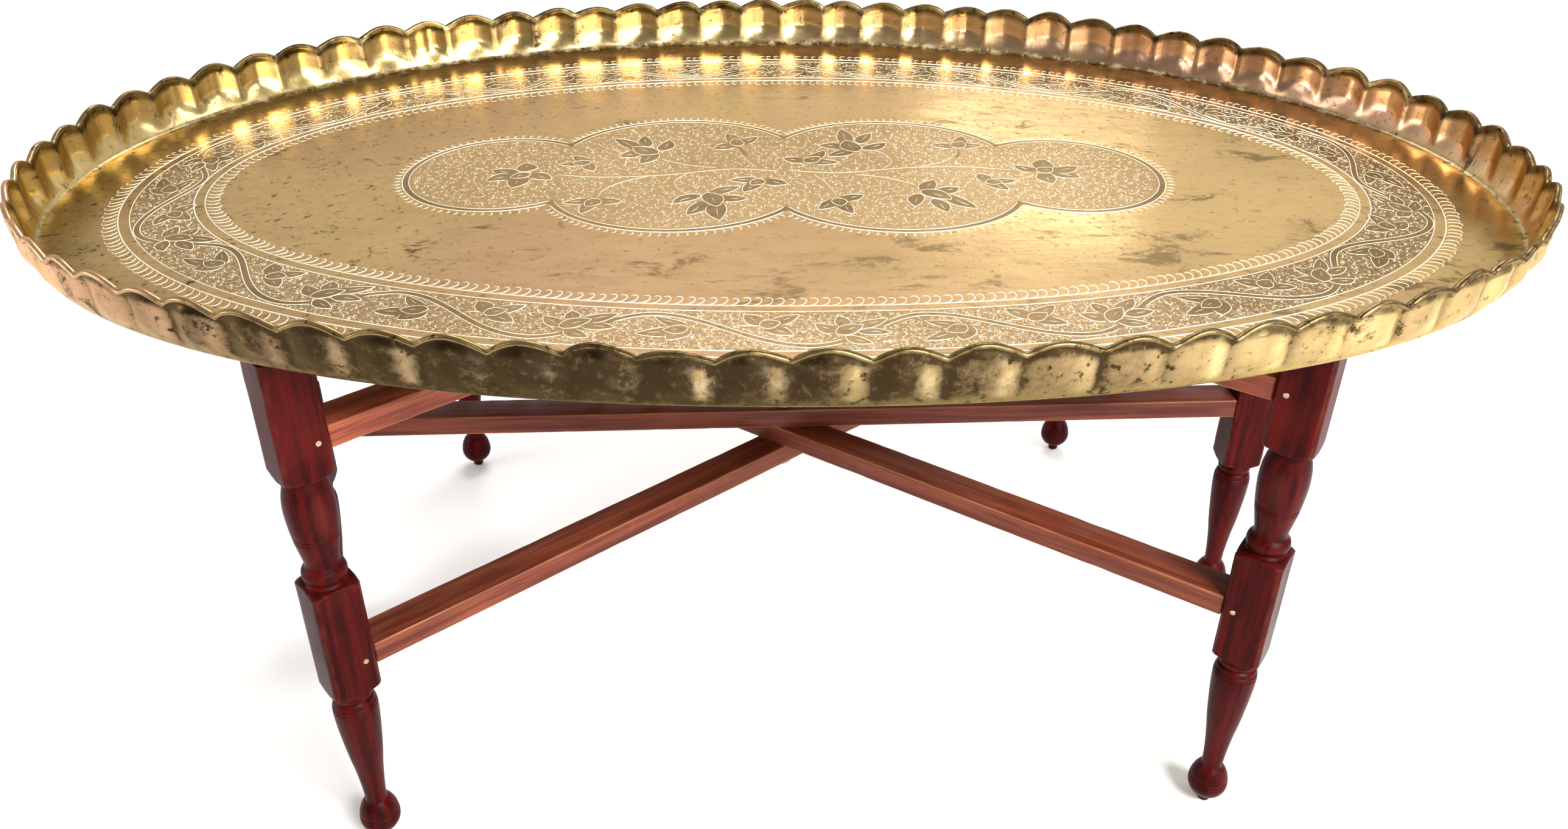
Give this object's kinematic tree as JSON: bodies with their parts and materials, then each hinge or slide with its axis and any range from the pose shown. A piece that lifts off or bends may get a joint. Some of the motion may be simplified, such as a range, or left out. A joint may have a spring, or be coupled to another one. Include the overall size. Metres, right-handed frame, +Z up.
{
  "type": "brass tray table",
  "caption": "Oval brass tray with a scalloped upright rim, resting loose on a folding stand of crossed wooden frames with turned legs.",
  "frame": {"origin": "on the floor, under the middle of the tray and on the pivot line of the stand", "axes": "+X along the tray's length, +Y to the back, +Z up"},
  "size_m": [1.2022, 0.7792, 0.5044],
  "materials": {
    "tray_brass": "aged, polished and engraved",
    "leg_wood": "dark red gloss varnish",
    "rail_wood": "worn red-brown varnish",
    "pin_metal": "dull pin heads",
    "pivot_steel": "dull steel"
  },
  "bodies": {
    "tray": {"brass_tray": "tray_brass"},
    "front_left_frame": {"leg_front_left": "leg_wood", "leg_rear_right": "leg_wood", "lower_stretcher_front_left": "rail_wood", "upper_rail_front_left": "rail_wood", "pin_lower_front_left": "pin_metal", "pin_upper_front_left": "pin_metal", "pin_lower_rear_right": "pin_metal", "pin_upper_rear_right": "pin_metal"},
    "front_right_frame": {"leg_front_right": "leg_wood", "leg_rear_left": "leg_wood", "lower_stretcher_front_right": "rail_wood", "upper_rail_front_right": "rail_wood", "pin_lower_front_right": "pin_metal", "pin_upper_front_right": "pin_metal", "pin_lower_rear_left": "pin_metal", "pin_upper_rear_left": "pin_metal"},
    "middle_frame": {"leg_middle_left": "leg_wood", "leg_middle_right": "leg_wood", "lower_stretcher_middle": "rail_wood", "upper_rail_middle": "rail_wood", "pin_lower_middle_left": "pin_metal", "pin_upper_middle_left": "pin_metal", "pin_lower_middle_right": "pin_metal", "pin_upper_middle_right": "pin_metal", "lower_pivot_bolt": "pivot_steel", "lower_pivot_head_washer": "pivot_steel", "lower_pivot_nut_washer": "pivot_steel", "lower_pivot_nut": "pivot_steel", "upper_pivot_bolt": "pivot_steel", "upper_pivot_head_washer": "pivot_steel", "upper_pivot_nut_washer": "pivot_steel", "upper_pivot_nut": "pivot_steel"}
  },
  "joints": [
    {"name": "front_left_frame_swivel", "type": "hinge", "parent": "middle_frame", "child": "front_left_frame", "pos_m": [0, 0, 0.3], "axis": [0, 0, 1], "range_deg": [-32, 21]},
    {"name": "front_right_frame_swivel", "type": "hinge", "parent": "middle_frame", "child": "front_right_frame", "pos_m": [0, 0, 0.3], "axis": [0, 0, 1], "range_deg": [-21, 32]},
    {"name": "tray_lift", "type": "slide", "parent": "middle_frame", "child": "tray", "axis": [0, 0, 1], "range_m": [0, 0.15]}
  ]
}
